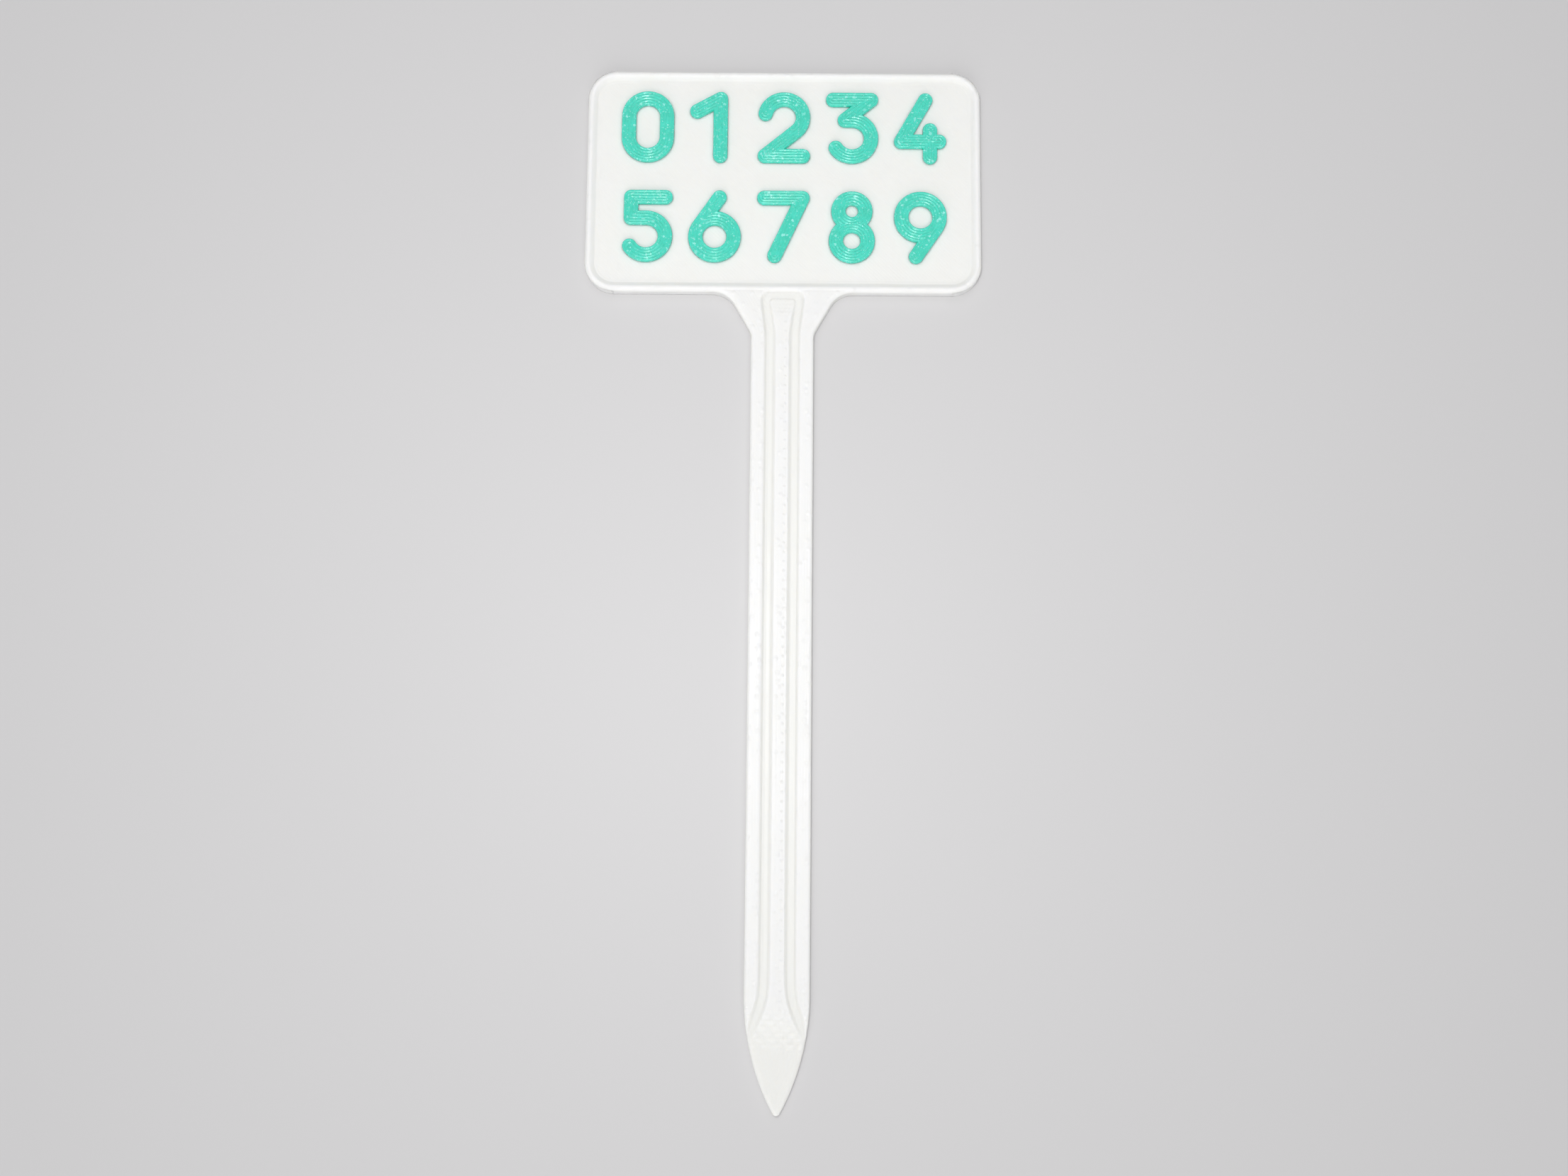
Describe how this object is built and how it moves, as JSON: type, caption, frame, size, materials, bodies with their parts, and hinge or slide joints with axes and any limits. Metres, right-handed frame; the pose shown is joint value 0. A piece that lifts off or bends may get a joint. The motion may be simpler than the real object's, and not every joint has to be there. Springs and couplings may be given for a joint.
{
  "type": "plant label stake",
  "caption": "Flat T-shaped plant label stake: a rounded plate with a raised rim and raised digits, on a ribbed stem that ends in a thin point for pushing into soil.",
  "frame": {"origin": "on the flat back, under the middle of the overall width and length", "axes": "+Y along the stake from the point to the plate, +Z out of the printed face, +X across the plate to the right of someone who reads it"},
  "size_m": [0.06, 0.155, 0.002],
  "materials": {
    "white_print": "white printed plastic with a soft satin shine and fine layer lines",
    "green_print": "glossy sea-green printed plastic with a fine glitter"
  },
  "bodies": {
    "root": {"stake_body": "white_print", "digit_zero": "green_print", "digit_one": "green_print", "digit_two": "green_print", "digit_three": "green_print", "digit_four": "green_print", "digit_five": "green_print", "digit_six": "green_print", "digit_seven": "green_print", "digit_eight": "green_print", "digit_nine": "green_print"}
  },
  "joints": []
}
